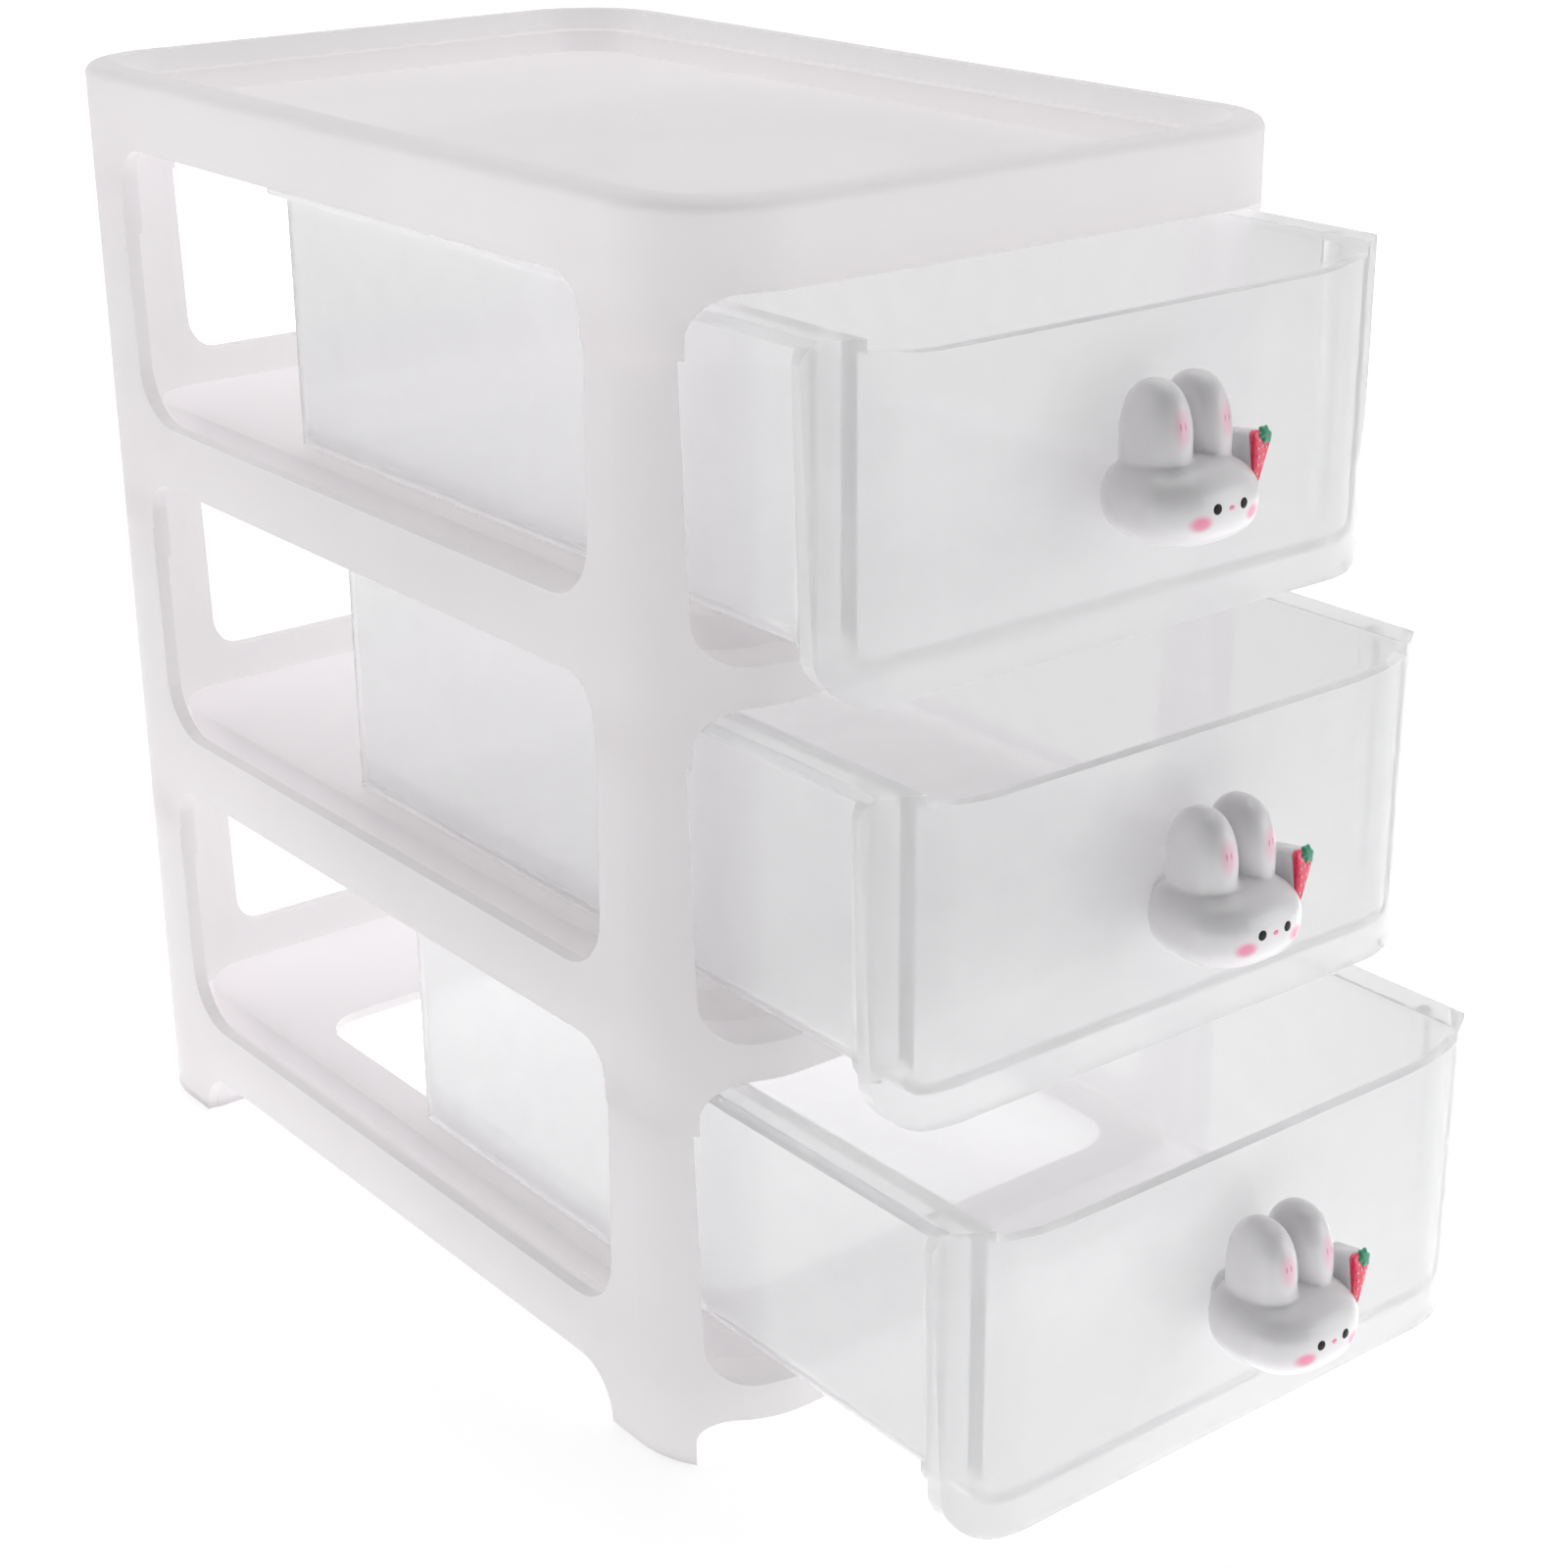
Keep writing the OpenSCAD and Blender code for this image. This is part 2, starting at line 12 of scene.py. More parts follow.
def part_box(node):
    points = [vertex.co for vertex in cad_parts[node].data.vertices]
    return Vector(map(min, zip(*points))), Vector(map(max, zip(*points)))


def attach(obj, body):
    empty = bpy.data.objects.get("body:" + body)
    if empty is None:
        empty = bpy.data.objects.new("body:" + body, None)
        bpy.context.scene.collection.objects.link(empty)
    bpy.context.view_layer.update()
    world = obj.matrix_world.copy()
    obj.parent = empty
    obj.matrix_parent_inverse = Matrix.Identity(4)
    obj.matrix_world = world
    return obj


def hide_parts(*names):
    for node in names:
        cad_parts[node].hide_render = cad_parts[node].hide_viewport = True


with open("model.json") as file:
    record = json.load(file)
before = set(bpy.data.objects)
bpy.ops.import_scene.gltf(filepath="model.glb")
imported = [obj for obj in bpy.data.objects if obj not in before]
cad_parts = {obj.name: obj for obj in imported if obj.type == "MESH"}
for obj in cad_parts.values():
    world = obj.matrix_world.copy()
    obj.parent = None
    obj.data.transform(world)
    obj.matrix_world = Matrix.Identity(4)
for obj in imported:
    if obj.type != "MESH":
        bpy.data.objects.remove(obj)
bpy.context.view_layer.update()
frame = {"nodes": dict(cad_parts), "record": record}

MM = 0.001
LEVELS = ("top", "middle", "bottom")
MOULDINGS = ("top_cover", "upper_shelf", "lower_shelf", "base_frame")

# The camera, in millimetres and degrees, in the part's frame.
CAMERA_AT = Vector((-309.1, -396.0, 293.2)) * MM
CAMERA_AZIMUTH = -38.23
CAMERA_ELEVATION = 21.75
CAMERA_ROLL = -0.42
CAMERA_LENS = 67.3
CAMERA_SHIFT = (-0.0019, -0.0019)

# The surround as a light: the side it is dimmer on, how it falls off towards it, and its strength there
# and elsewhere.
DIM_SIDE = (-0.68, -0.7, 0.2)
DIM_REACH = (-0.35, 0.75)
WORLD_BRIGHT = 0.74
WORLD_DIM = 0.0

# The floor: half its width and its depth in metres, how much of its own white glow shows through clear
# surfaces, the distances from the object between which that glow grows, and the glow at either distance.
FLOOR_HALF = 4.0
FLOOR_Z = -0.0004
FLOOR_THROUGH = 0.2
FLOOR_GLOW_REACH = (0.35, 0.9)
FLOOR_GLOW = (0.4, 1.0)

# Soft square lamps, in metres and watts: place, the point it faces, side, power.
LAMPS = {
    "left_back": ((-0.95, 0.75, 0.3), (0, 0, 0.1), 1.1, 2.3),
    "front_right": ((0.85, -1.2, 0.3), (0, 0, 0.1), 1.1, 6.6),
    "above": ((0.1, 0.2, 1.5), (0, 0, 0.1), 1.4, 8.1),
    "light_table": ((0, 0, -0.0002), (0, 0, 1), 1.3, 5.0),
}

# The gate mark on the tray, in millimetres from its middle, and its profile as radius and height.
GATE_AT = (13.0, 15.3)
GATE_PROFILE = ((1.7, -0.1), (1.7, 0.01), (1.5, 0.1), (1.3, 0.02), (0.5, 0.02), (0.35, 0.16), (0.1, 0.18))

# Rounding of the mouldings' and drawers' edges, in millimetres, and the angles in degrees from which an
# edge is drawn sharp and from which it is rounded.
MOULDING_EDGE = 0.35
DRAWER_EDGE = 0.25
SHARP_FROM = 32
ROUND_FROM = 40

# Skin of the rabbit, in millimetres: middle and radii across, out and up, and how boxy each form is. The
# head's middle and radius out are shares of the CAD knob's depth.
HEAD_AT = (0, -0.47, 0.3)
HEAD_SIZE = (11.2, 0.524, 6.8)
HEAD_POWER = 2.6
EAR_AT = (4.15, -8.1, 8.6)
EAR_SIZE = (4.05, 6.4, 10.2)
EAR_POWER = 2.35
SKIN_VOXEL = 0.34
SKIN_SMOOTHING = 8

# Face of the rabbit, in millimetres from the middle of the head: across and up.
EYE_AT = (2.75, 1.0)
EYE_SIZE = (0.86, 0.9)
EYE_RISE = 0.14
NOSE_AT = (0.1, 0.75)
NOSE_SIZE = (0.62, 0.42)
NOSE_RISE = 0.08
CHEEK_AT = (5.4, -0.95)
CHEEK_SIZE = (1.55, 1.1)
EAR_MARK_AT = (4.6, 12.2)
EAR_MARK_SIZE = (1.25, 2.4)
# Two short strokes in each ear mark: half the distance between them and half their height, half their
# width, and how much higher than the mark they are.
EAR_TICK = (0.45, 0.55)
EAR_TICK_WIDTH = 0.17
EAR_TICK_UP = 0.3
# The paint ends where the head turns away from its front, between these depths.
PAINT_DEPTH = (-10, -8)
# How far the edge of a painted dot goes below the skin, and the least that its inside stands above it.
DOT_SINK = 0.05
DOT_LIFT = 0.01
# Where the rays that find the skin start, well in front of the face.
FACE_RAYS_FROM = -40

# Strawberry, in millimetres from the middle of the head: corners of its face as across, out, up.
BERRY_CORNERS = ((9.0, 16.2, 2.9), (9.8, 13.9, 8.6), (12.2, 13.9, 7.7))
BERRY_ROUND = 1.0
BERRY_RIM = 0.16
# Its dome: height at the edge, rise to the middle, and reach; and how far up from the mean of the corners
# its middle is.
BERRY_DOME = (0.25, 0.85, 4.2)
BERRY_MIDDLE_UP = 0.5
# Its side, as lift and inset from the face's edge, and the rings of its front as shares of that edge.
BERRY_SIDE = ((-1.0, 0.35), (-0.9, 0.1), (-0.4, 0.0), (0.2, 0.05))
BERRY_FRONT = (0.93, 0.82, 0.66, 0.48, 0.3, 0.12)
# The wedge behind it, as distance back towards the panel and scale, and how far its front is below the face.
WEDGE_RINGS = ((-0.25, 0.96), (-0.1, 1.0), (0.35, 1.0), (1.5, 0.97), (5.0, 0.8))
WEDGE_SINK = 0.1
# Rows of seeds, as height up the face and number in the row, how far a row goes past the lines between the
# corners, how much higher every other seed is, and a seed's radii across, along and out.
SEED_ROWS = ((0.5, 1), (1.7, 2), (2.9, 2), (4.1, 3), (5.3, 2))
SEED_SPREAD = 0.45
SEED_STAGGER = 0.25
SEED_SIZE = (0.2, 0.25, 0.12)
# The leaf: its middle from the far corner, radii across and along, how far and how many its tips, and its
# rings as scale and lift.
LEAF_AT = (-0.7, 0.25)
LEAF_SIZE = (1.15, 1.2)
LEAF_TIP = 0.3
LEAF_TIPS = 6
LEAF_RINGS = ((0.97, -0.3), (1.0, 0.05), (0.8, 0.22), (0.4, 0.36), (0.1, 0.4))


# ---------- node helpers ----------


class Nodes:
    """A new material with a few shorthands for its node tree."""

    def __init__(self, name):
        self.material = bpy.data.materials.new(name)
        self.material.use_nodes = True
        self.tree = self.material.node_tree
        self.tree.nodes.clear()
        self.output = self.add("ShaderNodeOutputMaterial")

    def add(self, kind, **inputs):
        node = self.tree.nodes.new(kind)
        for name, value in inputs.items():
            self.set(node, name, value)
        return node

    def set(self, node, name, value):
        socket = node.inputs[int(name[1:])] if name[0] == "_" else node.inputs[name]
        if isinstance(value, bpy.types.NodeSocket):
            self.tree.links.new(value, socket)
        else:
            socket.default_value = value

    def math(self, operation, a, b=0.0):
        node = self.add("ShaderNodeMath", _0=a, _1=b)
        node.operation = operation
        return node.outputs[0]

    def mix(self, factor, a, b):
        node = self.add("ShaderNodeMix")
        node.data_type = "RGBA"
        self.set(node, "_0", factor)
        self.set(node, "_6", a)
        self.set(node, "_7", b)
        return node.outputs[2]

    def ramp(self, value, low, high, out_low=0.0, out_high=1.0):
        """A smooth rise from one output to the other as the value goes from low to high."""
        node = self.add("ShaderNodeMapRange", _0=value, _1=low, _2=high, _3=out_low, _4=out_high)
        node.interpolation_type = "SMOOTHSTEP"
        return node.outputs[0]

    def coordinates(self):
        return self.add("ShaderNodeTexCoord").outputs["Object"]

    def noise(self, scale, detail=2.0):
        node = self.add("ShaderNodeTexNoise", Vector=self.coordinates(), Scale=scale, Detail=detail)
        return node.outputs["Fac"]

    def bump(self, height, strength, distance):
        return self.add("ShaderNodeBump", Height=height, Strength=strength, Distance=distance).outputs[0]

    def blend(self, factor, a, b):
        """A mix of two shaders, each given by its node or socket."""
        sockets = [s if isinstance(s, bpy.types.NodeSocket) else s.outputs[0] for s in (a, b)]
        return self.add("ShaderNodeMixShader", _0=factor, _1=sockets[0], _2=sockets[1]).outputs[0]

    def lets_light(self, shader, kind, tint):
        """The shader, but rays of one kind of light path go straight through it with a tint."""
        rays = self.add("ShaderNodeLightPath").outputs
        return self.blend(rays[kind], shader, self.add("ShaderNodeBsdfTransparent", Color=tint))

    def finish(self, shader):
        self.tree.links.new(shader, self.output.inputs["Surface"])
        return self.material


def set_principled(node, **values):
    for name, value in values.items():
        node.inputs[name.replace("_", " ")].default_value = value


# ---------- materials ----------


def white_plastic():
    """Milky moulded plastic: satin, and light comes through its thin walls."""
    m = Nodes("white_plastic")
    cloud = m.noise(22.0, 3.0)
    colour = m.mix(m.ramp(cloud, 0.35, 0.65), (0.86, 0.852, 0.863, 1), (0.885, 0.877, 0.888, 1))
    grain = m.noise(2600.0, 1.0)
    rough = m.ramp(m.noise(60.0), 0.3, 0.7, 0.34, 0.44)
    body = m.add("ShaderNodeBsdfPrincipled")
    set_principled(body, IOR=1.49)
    m.set(body, "Base Color", colour)
    m.set(body, "Roughness", rough)
    m.set(body, "Normal", m.bump(grain, 0.06, 0.00005))
    through = m.add("ShaderNodeBsdfTranslucent", Color=(0.965, 0.955, 0.958, 1))
    mixed = m.blend(0.6, body, through)
    return m.finish(m.lets_light(mixed, "Is Shadow Ray", (0.82, 0.81, 0.812, 1)))


def clear_plastic():
    """Frosted clear plastic: a sharp and a rough glass under a milky haze. Light passes to what lies behind it."""
    m = Nodes("clear_plastic")
    ripple = m.bump(m.noise(45.0, 1.0), 0.08, 0.0006)
    tint = m.mix(m.noise(12.0), (0.94, 0.944, 0.947, 1), (0.92, 0.925, 0.93, 1))
    panes = []
    for low, high in ((0.03, 0.06), (0.34, 0.42)):
        glass = m.add("ShaderNodeBsdfPrincipled")
        set_principled(glass, Transmission_Weight=1.0, IOR=1.25)
        m.set(glass, "Base Color", tint)
        m.set(glass, "Roughness", m.ramp(m.noise(90.0), 0.3, 0.7, low, high))
        m.set(glass, "Normal", ripple)
        panes.append(glass)
    bare = m.blend(0.12, *panes)
    bare = m.lets_light(bare, "Is Shadow Ray", (0.96, 0.96, 0.96, 1))
    bare = m.lets_light(bare, "Is Diffuse Ray", (0.97, 0.97, 0.97, 1))
    veil = m.add("ShaderNodeBsdfTranslucent", Color=(0.97, 0.965, 0.97, 1))
    skin = m.add("ShaderNodeBsdfDiffuse", Color=(0.96, 0.96, 0.965, 1))
    haze = m.blend(0.8, veil, skin)
    return m.finish(m.blend(m.ramp(m.noise(30.0, 3.0), 0.35, 0.65, 0.21, 0.25), bare, haze))


def spot_mask(m, x, z, centre, size, soft):
    """1 inside an ellipse on the face, mirrored left to right, falling to 0 at its edge."""
    dx = m.math("DIVIDE", m.math("SUBTRACT", m.math("ABSOLUTE", x), centre[0] * MM), size[0] * MM)
    dz = m.math("DIVIDE", m.math("SUBTRACT", z, centre[1] * MM), size[1] * MM)
    distance = m.math("SQRT", m.math("ADD", m.math("MULTIPLY", dx, dx), m.math("MULTIPLY", dz, dz)))
    return m.ramp(distance, 1.0 - soft, 1.0 + soft, 1.0, 0.0)


def knob_plastic():
    """Glossy white moulding with sprayed pink cheeks and ear marks."""
    m = Nodes("knob_plastic")
    split = m.add("ShaderNodeSeparateXYZ", _0=m.coordinates())
    x, y, z = split.outputs
    front = m.ramp(y, PAINT_DEPTH[0] * MM, PAINT_DEPTH[1] * MM, 1.0, 0.0)
    blush = m.math("MULTIPLY", spot_mask(m, x, z, CHEEK_AT, CHEEK_SIZE, 0.5), front)
    mark = m.math("MULTIPLY", spot_mask(m, x, z, EAR_MARK_AT, EAR_MARK_SIZE, 0.6), front)
    white = m.mix(m.ramp(m.noise(120.0), 0.3, 0.7), (0.74, 0.726, 0.742, 1), (0.77, 0.756, 0.772, 1))
    colour = m.mix(m.math("MULTIPLY", blush, 0.95), white, (0.83, 0.24, 0.39, 1))
    colour = m.mix(m.math("MULTIPLY", mark, 0.5), colour, (0.83, 0.30, 0.46, 1))
    for offset in (-EAR_TICK[0], EAR_TICK[0]):
        at = (EAR_MARK_AT[0] + offset, EAR_MARK_AT[1] + EAR_TICK_UP)
        stroke = m.math("MULTIPLY", spot_mask(m, x, z, at, (EAR_TICK_WIDTH, EAR_TICK[1]), 0.3), front)
        colour = m.mix(m.math("MULTIPLY", stroke, 0.6), colour, (0.70, 0.12, 0.28, 1))
    body = m.add("ShaderNodeBsdfPrincipled")
    set_principled(body, IOR=1.5, Coat_Weight=0.4, Coat_Roughness=0.15)
    m.set(body, "Base Color", colour)
    m.set(body, "Roughness", m.ramp(m.noise(200.0), 0.3, 0.7, 0.3, 0.38))
    return m.finish(body.outputs[0])


def painted(name, colour, darker, roughness, coat=0.4, shine=0.5):
    """Glossy paint with a slight cloud in its colour."""
    m = Nodes(name)
    body = m.add("ShaderNodeBsdfPrincipled")
    set_principled(body, Coat_Weight=coat, Coat_Roughness=0.1, Specular_IOR_Level=shine)
    m.set(body, "Base Color", m.mix(m.ramp(m.noise(900.0), 0.35, 0.65), darker, colour))
    m.set(body, "Roughness", m.ramp(m.noise(1500.0), 0.3, 0.7, roughness * 0.85, roughness * 1.15))
    return m.finish(body.outputs[0])


def screw_steel():
    """Plated steel of the screws, which only show through the drawers."""
    m = Nodes("screw_steel")
    body = m.add("ShaderNodeBsdfPrincipled")
    set_principled(body, Metallic=1.0)
    m.set(body, "Base Color", m.mix(m.noise(800.0), (0.55, 0.56, 0.58, 1), (0.72, 0.73, 0.75, 1)))
    m.set(body, "Roughness", m.ramp(m.noise(1800.0), 0.3, 0.7, 0.22, 0.4))
    return m.finish(body.outputs[0])


MATERIALS = {
    "white": white_plastic(),
    "clear": clear_plastic(),
    "knob": knob_plastic(),
    "eye": painted("eye_black", (0.016, 0.014, 0.013, 1), (0.009, 0.008, 0.0075, 1), 0.3, 0.0, 0.15),
    "nose": painted("nose_pink", (0.86, 0.24, 0.40, 1), (0.78, 0.20, 0.34, 1), 0.35),
    "berry": painted("strawberry_red", (0.97, 0.075, 0.16, 1), (0.92, 0.055, 0.12, 1), 0.3),
    "seed": painted("seed_pink", (0.95, 0.62, 0.66, 1), (0.92, 0.52, 0.58, 1), 0.4),
    "leaf": painted("leaf_green", (0.04, 0.36, 0.20, 1), (0.03, 0.28, 0.15, 1), 0.4),
    "steel": screw_steel(),
}


# ---------- carried CAD nodes ----------


def dress(node, material, edge=0.0):
    """Gives a CAD node its material, smooth curved faces and softly rounded edges."""
    obj = frame["nodes"][node]
    obj.data.materials.clear()
    obj.data.materials.append(material)
    for polygon in obj.data.polygons:
        polygon.use_smooth = True
    obj.data.set_sharp_from_angle(angle=math.radians(SHARP_FROM))
    if edge:
        bevel = obj.modifiers.new("soft_edges", "BEVEL")
        bevel.width = edge * MM
        bevel.segments = 2
        bevel.limit_method = "ANGLE"
        bevel.angle_limit = math.radians(ROUND_FROM)
        bevel.harden_normals = True
        bevel.use_clamp_overlap = True


for name in MOULDINGS:
    dress(name, MATERIALS["white"], MOULDING_EDGE)
for level in LEVELS:
    dress(f"drawer_{level}", MATERIALS["clear"], DRAWER_EDGE)
    dress(f"screw_{level}", MATERIALS["steel"])


# ---------- rabbit knobs ----------


def add_rounded_form(bm, centre, radii, power):
    """An ellipsoid with squarer shoulders, in millimetres; a higher power makes it boxier."""
    made = bmesh.ops.create_uvsphere(bm, u_segments=40, v_segments=24, radius=1.0)
    for v in made["verts"]:
        n = v.co.normalized()
        p = n * sum(abs(c) ** power for c in n) ** (-1.0 / power)
        v.co = Vector([centre[i] + p[i] * radii[i] for i in range(3)]) * MM


def rabbit_mesh(depth):
    """The head with its two ears, joined into one skin; the panel is at Y = 0."""
    bm = bmesh.new()
    head_at = (HEAD_AT[0], depth * HEAD_AT[1], HEAD_AT[2])
    add_rounded_form(bm, head_at, (HEAD_SIZE[0], depth * HEAD_SIZE[1], HEAD_SIZE[2]), HEAD_POWER)
    for side in (-1, 1):
        add_rounded_form(bm, (side * EAR_AT[0], *EAR_AT[1:]), EAR_SIZE, EAR_POWER)
    mesh = bpy.data.meshes.new("rabbit_form")
    bm.to_mesh(mesh)
    bm.free()
    obj = bpy.data.objects.new("rabbit_form", mesh)
    bpy.context.scene.collection.objects.link(obj)
    remesh = obj.modifiers.new("skin", "REMESH")
    remesh.mode = "VOXEL"
    remesh.voxel_size = SKIN_VOXEL * MM
    smooth = obj.modifiers.new("blend", "SMOOTH")
    smooth.factor = 0.5
    smooth.iterations = SKIN_SMOOTHING
    evaluated = obj.evaluated_get(bpy.context.evaluated_depsgraph_get())
    result = bpy.data.meshes.new_from_object(evaluated)
    bpy.data.objects.remove(obj)
    bm = bmesh.new()
    bm.from_mesh(result)
    everything = bm.verts[:] + bm.edges[:] + bm.faces[:]
    cut = bmesh.ops.bisect_plane(bm, geom=everything, plane_co=(0, 0, 0), plane_no=(0, 1, 0), clear_outer=True)
    edges = [e for e in cut["geom_cut"] if isinstance(e, bmesh.types.BMEdge)]
    bmesh.ops.holes_fill(bm, edges=edges, sides=0)
    bm.to_mesh(result)
    bm.free()
    return result


def surface_patch(tree, centre, size, rise, rings=5, steps=24):
    """A small painted dot that follows the surface below it and stands a little proud in its middle."""
    bm = bmesh.new()

    def on_surface(x, z, lift):
        hit, normal, _, _ = tree.ray_cast(Vector((x, FACE_RAYS_FROM, z)) * MM, Vector((0, 1, 0)))
        return hit + normal * lift * MM

    previous = [bm.verts.new(on_surface(centre[0], centre[1], rise))] * steps
    for ring in range(1, rings + 1):
        t = ring / rings
        lift = rise * math.sqrt(max(0.0, 1 - t * t)) + DOT_LIFT
        current = []
        for k in range(steps):
            a = 2 * math.pi * k / steps
            x = centre[0] + size[0] * t * math.cos(a)
            z = centre[1] + size[1] * t * math.sin(a)
            current.append(bm.verts.new(on_surface(x, z, lift if ring < rings else -DOT_SINK)))
        for k in range(steps):
            n = (k + 1) % steps
            if ring == 1:
                bm.faces.new((previous[0], current[k], current[n]))
            else:
                bm.faces.new((previous[k], current[k], current[n], previous[n]))
        previous = current
    bmesh.ops.recalc_face_normals(bm, faces=bm.faces)
    mesh = bpy.data.meshes.new("dot")
    bm.to_mesh(mesh)
    bm.free()
    return mesh


def knob_origin(level):
    """The middle of the knob's back face: on the screw's axis, at the panel."""
    low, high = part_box(f"screw_{level}")
    _, knob_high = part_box(f"knob_{level}")
    return Vector(((low.x + high.x) / 2, knob_high.y, (low.z + high.z) / 2))


def build_knob(level):
    """The rabbit, its face and its strawberry, in the place of the level's CAD knob."""
    body = f"{level}_drawer"
    origin = knob_origin(level)
    low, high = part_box(f"knob_{level}")
    depth = (high.y - low.y) / MM
    mesh = rabbit_mesh(depth)
    tree_source = bmesh.new()
    tree_source.from_mesh(mesh)
    tree = BVHTree.FromBMesh(tree_source)
    tree_source.free()

    def piece(name, data, material, slot):
        obj = bpy.data.objects.new(f"{name}_{level}", data)
        bpy.context.scene.collection.objects.link(obj)
        data.materials.append(MATERIALS[material])
        for polygon in data.polygons:
            polygon.use_smooth = True
        obj.location = origin
        bpy.context.view_layer.update()
        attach(obj, body)
        return obj

    rabbit = piece("rabbit", mesh, "knob", "knob_plastic")
    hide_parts(f"knob_{level}")
    for side, label in ((-1, "left"), (1, "right")):
        dot = surface_patch(tree, (side * EYE_AT[0], EYE_AT[1]), EYE_SIZE, EYE_RISE)
        piece(f"eye_{label}", dot, "eye", "knob_plastic")
    piece("nose", surface_patch(tree, NOSE_AT, NOSE_SIZE, NOSE_RISE), "nose", "knob_plastic")
    build_strawberry(level, piece)


# ---------- strawberries ----------


class BerryFrame:
    """The plane of a strawberry's face: across, up along the face, and out of it."""

    def __init__(self):
        tip, near, far = (Vector((x, -out, z)) for x, out, z in BERRY_CORNERS)
        self.origin = tip
        self.across = Vector((1, 0, 0))
        self.along = (near - tip).normalized()
        self.out = self.across.cross(self.along)
        self.flat = [self.flatten(p) for p in (tip, near, far)]
        self.middle = sum(self.flat, Vector((0, 0))) / 3 + Vector((0, BERRY_MIDDLE_UP))

    def flatten(self, p):
        d = p - self.origin
        return Vector((d.dot(self.across), d.dot(self.along)))

    def point(self, u, v, lift):
        return (self.origin + self.across * u + self.along * v + self.out * lift) * MM

    def outline(self, radius, steps=48):
        """Points round the three corners, each rounded by the radius."""
        for k in range(steps):
            turn = Vector((math.cos(2 * math.pi * k / steps), math.sin(2 * math.pi * k / steps)))
            corner = max(self.flat, key=lambda c: c.dot(turn))
            yield corner + turn * radius


def shell_of_rings(rings):
    """A closed skin through rings of points, with its first and last rings filled."""
    bm = bmesh.new()
    made = [[bm.verts.new(p) for p in ring] for ring in rings]
    for a, b in zip(made, made[1:]):
        for k in range(len(a)):
            n = (k + 1) % len(a)
            bm.faces.new((a[k], a[n], b[n], b[k]))
    bm.faces.new(made[0])
    bm.faces.new(made[-1])
    bmesh.ops.recalc_face_normals(bm, faces=bm.faces)
    mesh = bpy.data.meshes.new("shell")
    bm.to_mesh(mesh)
    bm.free()
    return mesh


def berry_dome(at, u, v):
    """How far the strawberry's domed front stands out over a place on its face."""
    low, rise, reach = BERRY_DOME
    edge = (Vector((u, v)) - at.middle).length / reach
    return low + rise * math.sqrt(1 - min(1.0, edge) ** 2)


def berry_mesh(at):
    """The red body: a straight side and a domed front, inside the wedge's rim."""
    inner = BERRY_ROUND - BERRY_RIM
    rings = []
    for lift, inset in BERRY_SIDE:
        rings.append([at.point(p.x, p.y, lift) for p in at.outline(inner - inset)])
    edge = list(at.outline(inner - BERRY_SIDE[-1][1]))
    for shrink in BERRY_FRONT:
        ring = [at.middle.lerp(p, shrink) for p in edge]
        rings.append([at.point(p.x, p.y, berry_dome(at, p.x, p.y)) for p in ring])
    return shell_of_rings(rings)


def wedge_mesh(at):
    """The white wedge that carries the strawberry and stands round it as a thin rim."""
    front = list(at.outline(BERRY_ROUND))
    rings = []
    for back, scale in WEDGE_RINGS:
        rings.append([at.point(*at.middle.lerp(p, scale), -WEDGE_SINK) + Vector((0, back, 0)) * MM for p in front])
    return shell_of_rings(rings)


def add_seed(bm, at, centre, segments=10, rings=6):
    """A small flattened ball, made ring by ring so that its vertices come in the same order each run."""

    def vertex(azimuth, polar):
        across, along, out = SEED_SIZE
        side = math.sin(polar)
        turn = at.across * across * math.cos(azimuth) * side + at.along * along * math.sin(azimuth) * side
        return bm.verts.new(centre + (turn + at.out * out * math.cos(polar)) * MM)

    top, bottom = vertex(0, 0), vertex(0, math.pi)
    made = []
    for ring in range(1, rings):
        made.append([vertex(2 * math.pi * (k + 0.5) / segments, math.pi * ring / rings) for k in range(segments)])
    for k in range(segments):
        n = (k + 1) % segments
        bm.faces.new((top, made[0][k], made[0][n]))
        bm.faces.new((bottom, made[-1][n], made[-1][k]))
        for upper, lower in zip(made, made[1:]):
            bm.faces.new((upper[k], lower[k], lower[n], upper[n]))


def seeds_mesh(at):
    """Small pale dots in rows across the strawberry."""
    bm = bmesh.new()
    tip, near, far = at.flat
    for up, count in SEED_ROWS:
        t = up / near.y
        left, right = tip.lerp(near, t).x - SEED_SPREAD, tip.lerp(far, t).x + SEED_SPREAD
        for k in range(count):
            u = left + (right - left) * (k + 0.5) / count
            v = up + (SEED_STAGGER if k % 2 else 0.0)
            add_seed(bm, at, at.point(u, v, berry_dome(at, u, v)))
    mesh = bpy.data.meshes.new("seeds")
    bm.to_mesh(mesh)
    bm.free()
    return mesh


def leaf_mesh(at, steps=48):
    """The green cap: pointed leaves spread over the far top corner."""
    top = at.flat[2] + Vector(LEAF_AT)
    rim = []
    for k in range(steps):
        a = 2 * math.pi * k / steps
        reach = 1.0 + LEAF_TIP * math.cos(LEAF_TIPS * a / 2) ** 2
        rim.append(Vector((math.cos(a) * reach * LEAF_SIZE[0], math.sin(a) * reach * LEAF_SIZE[1])))
    rings = []
    for shrink, lift in LEAF_RINGS:
        ring = [top + p * shrink for p in rim]
        rings.append([at.point(p.x, p.y, berry_dome(at, p.x, p.y) + lift) for p in ring])
    return shell_of_rings(rings)


def build_strawberry(level, piece):
    at = BerryFrame()
    berry = piece("berry", berry_mesh(at), "berry", "strawberry_red")
    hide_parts(f"strawberry_{level}")
    piece("wedge", wedge_mesh(at), "knob", "knob_plastic")
    piece("seeds", seeds_mesh(at), "seed", "strawberry_red")
    piece("leaf", leaf_mesh(at), "leaf", "strawberry_red")


for level in LEVELS:
    build_knob(level)


# ---------- gate mark ----------


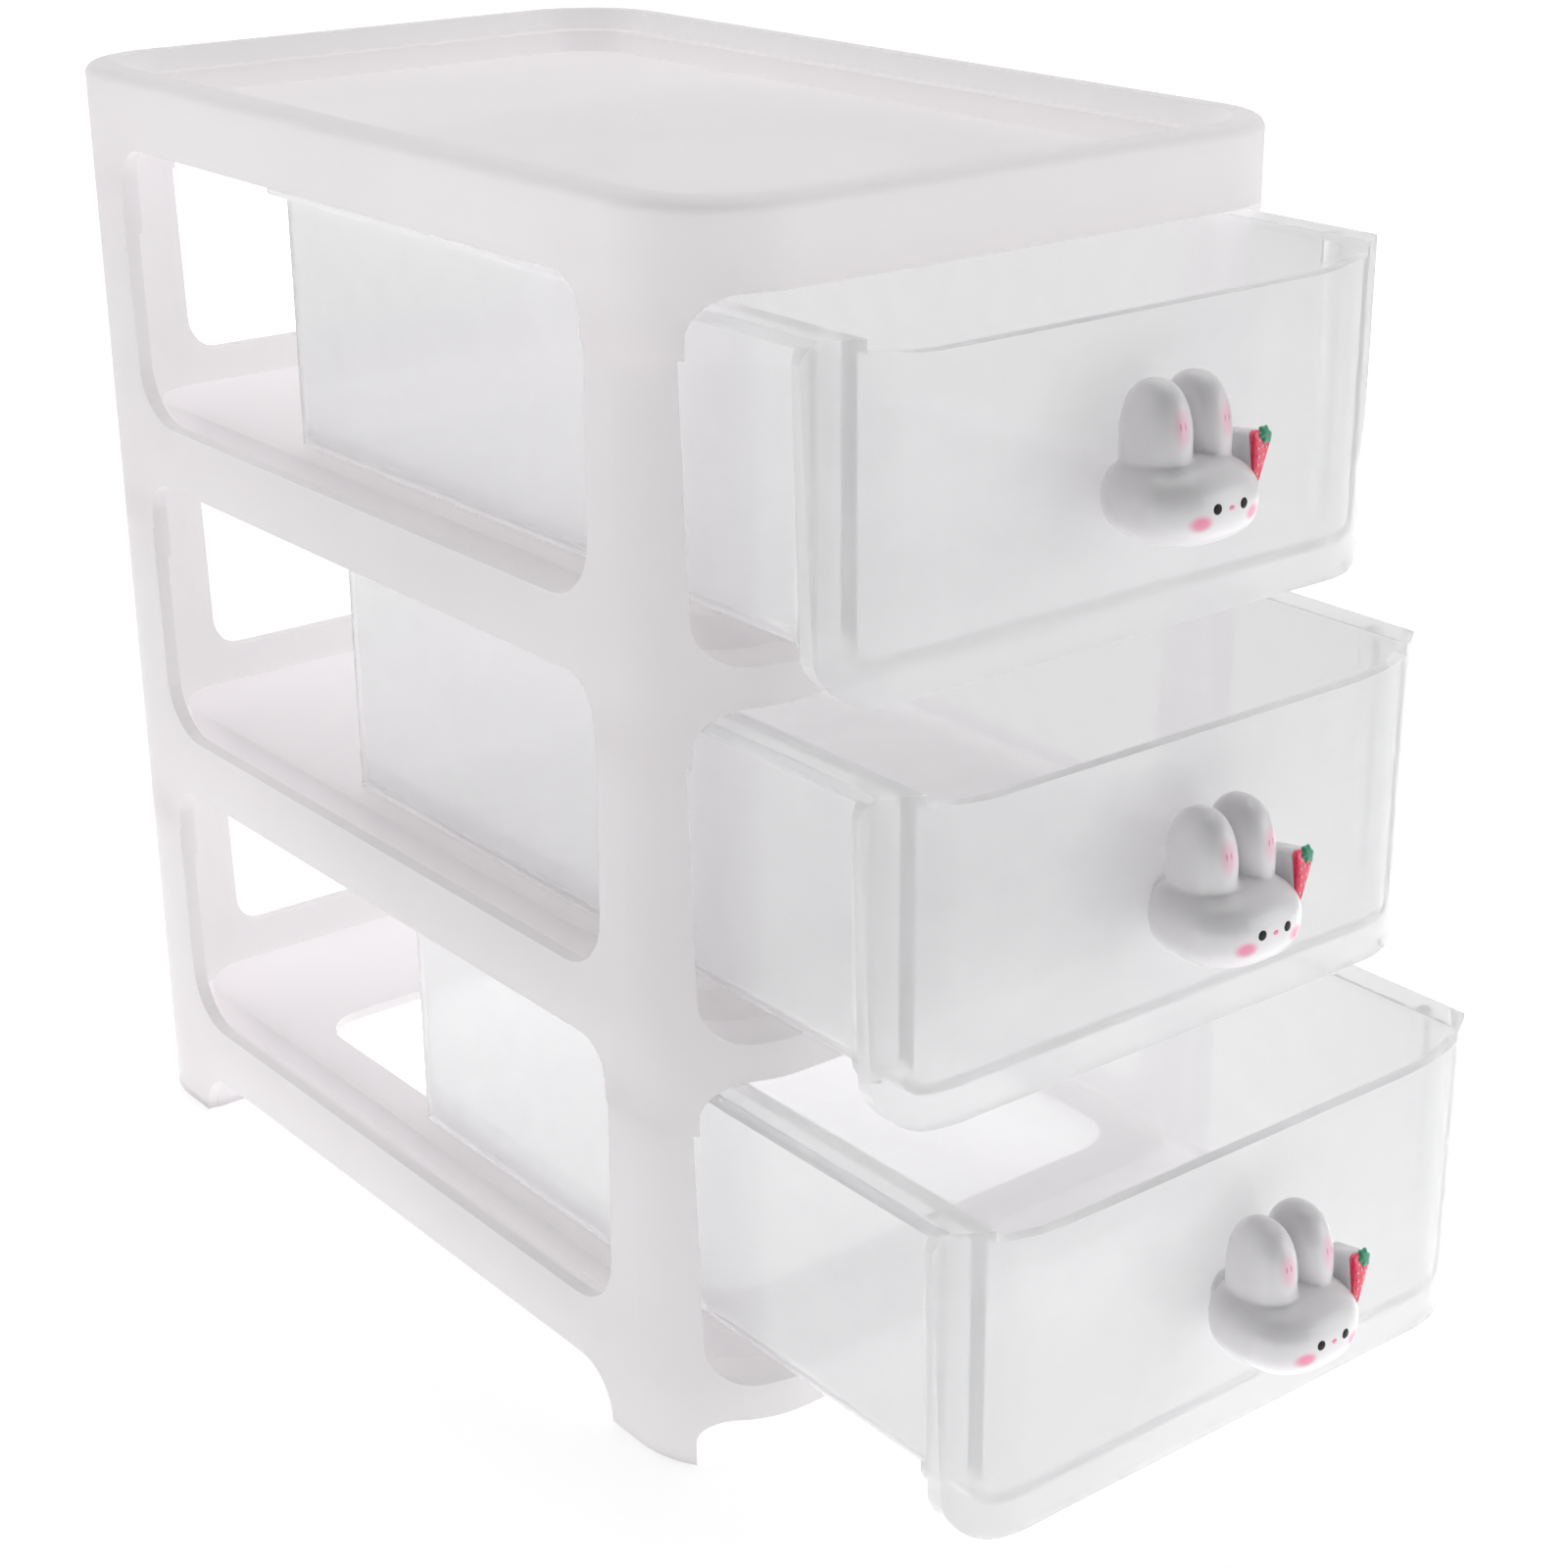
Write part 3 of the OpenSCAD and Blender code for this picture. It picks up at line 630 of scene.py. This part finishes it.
def add_gate_mark(steps=36):
    """The small round scar that the moulding's gate leaves in the middle of the tray's floor."""
    tray = Vector(next(m["pos_m"] for m in frame["record"]["mounts"] if m["name"] == "top_tray"))
    rings = []
    for radius, height in GATE_PROFILE:
        ring = []
        for k in range(steps):
            a = 2 * math.pi * k / steps
            ring.append(Vector((math.cos(a) * radius, math.sin(a) * radius, height)) * MM)
        rings.append(ring)
    mesh = shell_of_rings(rings)
    mesh.materials.append(MATERIALS["white"])
    mark = bpy.data.objects.new("gate_mark", mesh)
    bpy.context.scene.collection.objects.link(mark)
    mark.location = tray + Vector((*GATE_AT, 0)) * MM
    bpy.context.view_layer.update()
    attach(mark, "cabinet")


add_gate_mark()


# ---------- camera, light and floor ----------


def add_camera():
    """The photograph's camera."""
    a, e, r = (math.radians(v) for v in (CAMERA_AZIMUTH, CAMERA_ELEVATION, CAMERA_ROLL))
    back = Vector((math.sin(a) * math.cos(e), -math.cos(a) * math.cos(e), math.sin(e)))
    right = Vector((math.cos(a), math.sin(a), 0))
    up = back.cross(right)
    right, up = right * math.cos(r) + up * math.sin(r), up * math.cos(r) - right * math.sin(r)
    data = bpy.data.cameras.new("camera")
    data.lens = CAMERA_LENS
    data.sensor_width = 36.0
    data.shift_x, data.shift_y = CAMERA_SHIFT
    camera = bpy.data.objects.new("camera", data)
    camera.matrix_world = Matrix.Translation(CAMERA_AT) @ Matrix((right, up, back)).transposed().to_4x4()
    bpy.context.scene.collection.objects.link(camera)
    bpy.context.scene.camera = camera


def add_lamp(name, at, target, size, power):
    """A soft square lamp, which itself never shows."""
    data = bpy.data.lights.new(name, "AREA")
    data.shape = "SQUARE"
    data.size = size
    data.energy = power
    lamp = bpy.data.objects.new(name, data)
    lamp.location = at
    lamp.rotation_euler = (Vector(target) - Vector(at)).to_track_quat("-Z", "Y").to_euler()
    lamp.visible_camera = lamp.visible_transmission = False
    bpy.context.scene.collection.objects.link(lamp)


def add_world():
    """White to the camera; as a light, and through clear surfaces, it is dimmer towards the camera's side."""
    world = bpy.data.worlds.new("studio")
    world.use_nodes = True
    tree = world.node_tree
    background = tree.nodes["Background"]
    background.inputs["Color"].default_value = (1, 1, 1, 1)

    def node(kind, *inputs):
        made = tree.nodes.new(kind)
        for k, value in enumerate(inputs):
            if isinstance(value, bpy.types.NodeSocket):
                tree.links.new(value, made.inputs[k])
            elif value is not None:
                made.inputs[k].default_value = value
        return made

    rays = tree.nodes.new("ShaderNodeLightPath").outputs
    direction = tree.nodes.new("ShaderNodeTexCoord").outputs["Generated"]
    towards = node("ShaderNodeVectorMath", direction, DIM_SIDE)
    towards.operation = "DOT_PRODUCT"
    light = node("ShaderNodeMapRange", towards.outputs["Value"], *DIM_REACH, WORLD_BRIGHT, WORLD_DIM).outputs[0]
    strength = node("ShaderNodeMix", rays["Is Camera Ray"], None, light, 1.0).outputs[0]
    tree.links.new(strength, background.inputs["Strength"])
    bpy.context.scene.world = world


def add_floor():
    """A pale floor, shown white to the camera except where the object shades it."""
    bm = bmesh.new()
    turns = ((-1, -1), (1, -1), (1, 1), (-1, 1))
    bm.faces.new([bm.verts.new((x * FLOOR_HALF, y * FLOOR_HALF, FLOOR_Z)) for x, y in turns])
    mesh = bpy.data.meshes.new("floor")
    bm.to_mesh(mesh)
    bm.free()
    floor = bpy.data.objects.new("floor", mesh)
    bpy.context.scene.collection.objects.link(floor)
    m = Nodes("floor_white")
    paper = m.add("ShaderNodeBsdfDiffuse", Color=(0.95, 0.95, 0.95, 1))
    rays = m.add("ShaderNodeLightPath").outputs
    through = m.math("SUBTRACT", rays["Is Transmission Ray"], rays["Is Diffuse Ray"])
    seen = m.math("MAXIMUM", rays["Is Camera Ray"], m.math("MULTIPLY", through, FLOOR_THROUGH))
    reach = m.add("ShaderNodeVectorMath", _0=m.coordinates())
    reach.operation = "LENGTH"
    bright = m.ramp(reach.outputs["Value"], *FLOOR_GLOW_REACH, *FLOOR_GLOW)
    glow = m.add("ShaderNodeEmission", Color=(1, 1, 1, 1), Strength=m.math("MULTIPLY", seen, bright))
    both = m.add("ShaderNodeAddShader")
    m.set(both, "_0", paper.outputs[0])
    m.set(both, "_1", glow.outputs[0])
    mesh.materials.append(m.finish(both.outputs[0]))


add_camera()
add_world()
add_floor()
for lamp_name, lamp in LAMPS.items():
    add_lamp(lamp_name, *lamp)

scene = bpy.context.scene
scene.view_settings.view_transform = "Standard"
